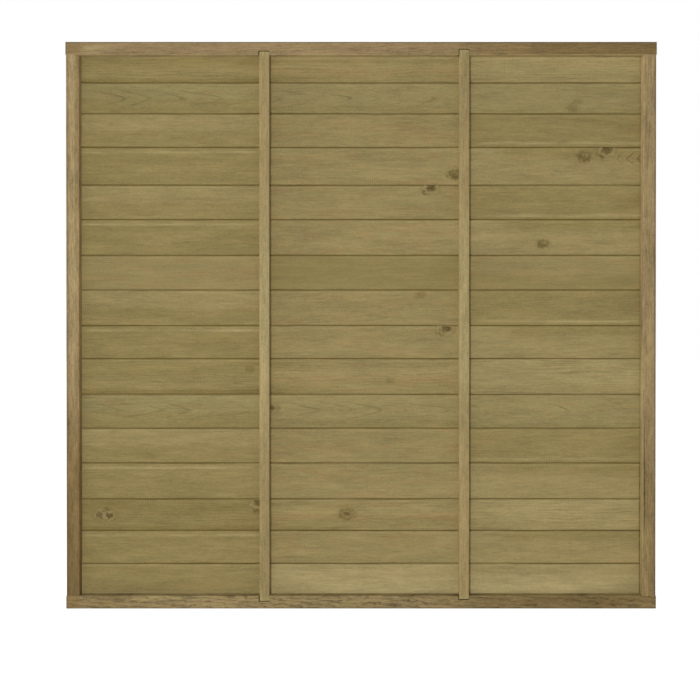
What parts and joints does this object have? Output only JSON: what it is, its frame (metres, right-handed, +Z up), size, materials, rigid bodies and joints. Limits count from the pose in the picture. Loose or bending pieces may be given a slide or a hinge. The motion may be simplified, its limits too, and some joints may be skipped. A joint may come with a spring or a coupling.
{
  "type": "tongue and groove fence panel",
  "caption": "Framed timber fence panel: horizontal tongue and groove boards in a rebated frame, with upright battens let into the rails at the back.",
  "frame": {"origin": "under the middle of the bottom rail, halfway through the frame's depth", "axes": "+Z up, X along the rails with +X to the right as seen from behind, the back with its battens faces -Y and the show face +Y"},
  "size_m": [1.83, 0.042, 1.7565],
  "materials": {
    "boards": "planed pressure treated softwood, weathered olive tan",
    "frame": "planed pressure treated softwood, browner than the boards",
    "battens": "planed pressure treated softwood, paler than the boards",
    "nails": "galvanised"
  },
  "bodies": {
    "root": {"board_01": "boards", "board_02": "boards", "board_03": "boards", "board_04": "boards", "board_05": "boards", "board_06": "boards", "board_07": "boards", "board_08": "boards", "board_09": "boards", "board_10": "boards", "board_11": "boards", "board_12": "boards", "board_13": "boards", "board_14": "boards", "board_15": "boards", "board_16": "boards", "board_brads": "nails", "bottom_rail": "frame", "frame_nails": "nails", "left_batten": "battens", "left_stile": "frame", "right_batten": "battens", "right_stile": "frame", "top_rail": "frame"}
  },
  "joints": []
}
